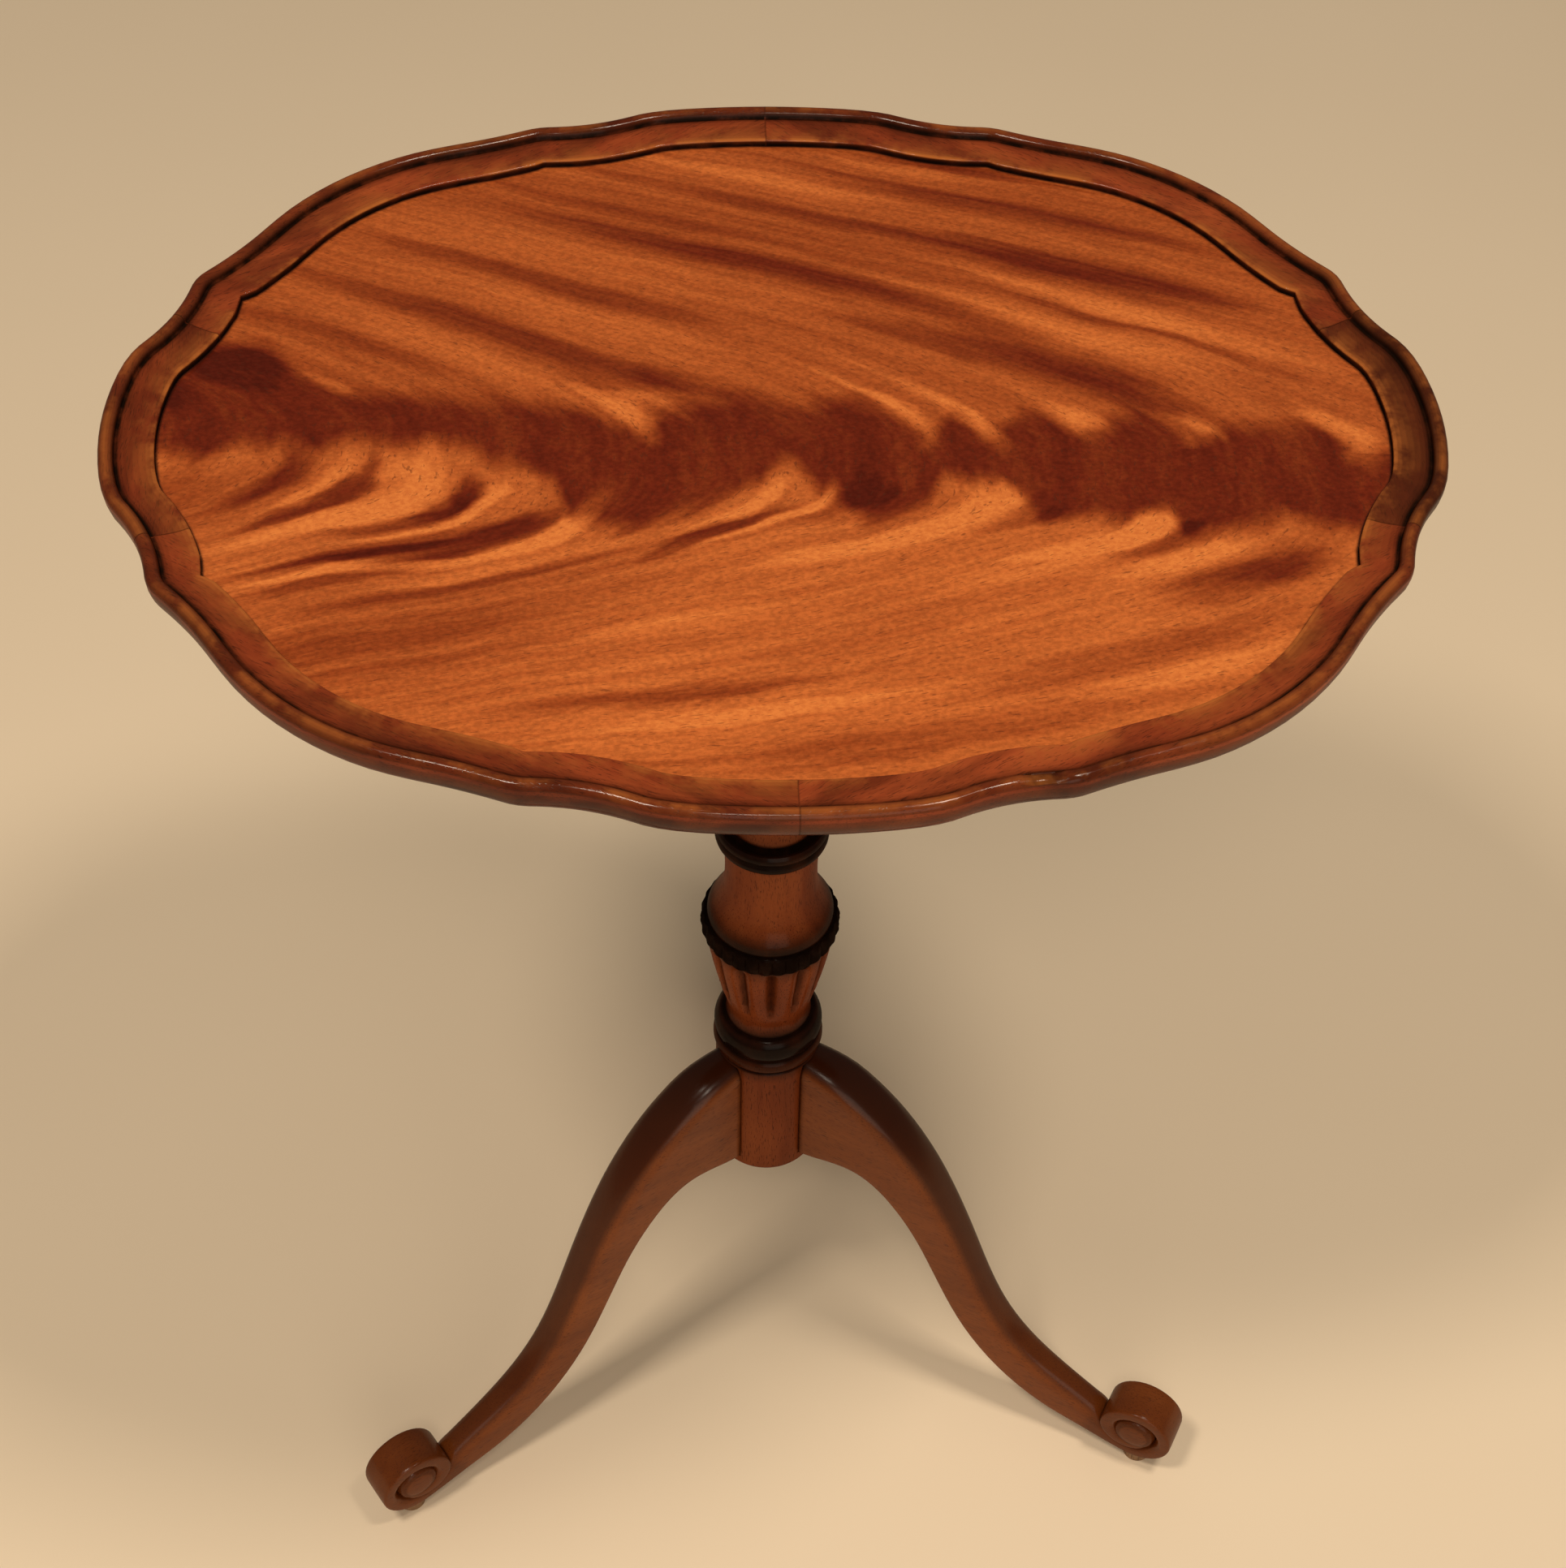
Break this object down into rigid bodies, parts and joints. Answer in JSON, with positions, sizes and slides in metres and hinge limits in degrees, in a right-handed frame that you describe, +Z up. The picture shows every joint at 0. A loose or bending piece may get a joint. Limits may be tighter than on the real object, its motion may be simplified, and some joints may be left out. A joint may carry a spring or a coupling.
{
  "type": "wine table",
  "caption": "Small pedestal wine table: oval dished top with a piecrust rim and flame-figured veneer, on a turned and carved column with cabriole legs and scroll toes.",
  "frame": {"origin": "on the floor, straight below the column's axis, in the middle of the circle through the feet", "axes": "+Z up, +X along the oval top towards its right end, -Y towards the front, between the two front legs"},
  "size_m": [0.4344, 0.3716, 0.52],
  "materials": {
    "flame_mahogany": "French polished",
    "rim_mahogany": "French polished, worn on the lip",
    "turned_mahogany": "French polished, dark in the turned rings",
    "leg_mahogany": "French polished",
    "under_board": "planed and stained, unpolished",
    "bearer_wood": "stained",
    "wedge_wood": "raw",
    "pad_wood": "raw, worn",
    "screw_steel": "dull",
    "plate_iron": "blackened",
    "nail_brass": "tarnished"
  },
  "bodies": {
    "root": {"flame_veneer": "flame_mahogany", "top_board": "under_board", "rim_front_left": "rim_mahogany", "rim_front_right": "rim_mahogany", "rim_back_left": "rim_mahogany", "rim_back_right": "rim_mahogany", "rim_left_end": "rim_mahogany", "rim_right_end": "rim_mahogany", "bearer_block": "bearer_wood", "block_screws": "screw_steel", "column": "turned_mahogany", "column_wedge": "wedge_wood", "front_left_leg": "leg_mahogany", "front_right_leg": "leg_mahogany", "back_leg": "leg_mahogany", "front_left_pad": "pad_wood", "front_right_pad": "pad_wood", "back_pad": "pad_wood", "pad_nails": "nail_brass", "base_plate": "plate_iron", "plate_screws": "screw_steel"}
  },
  "joints": []
}
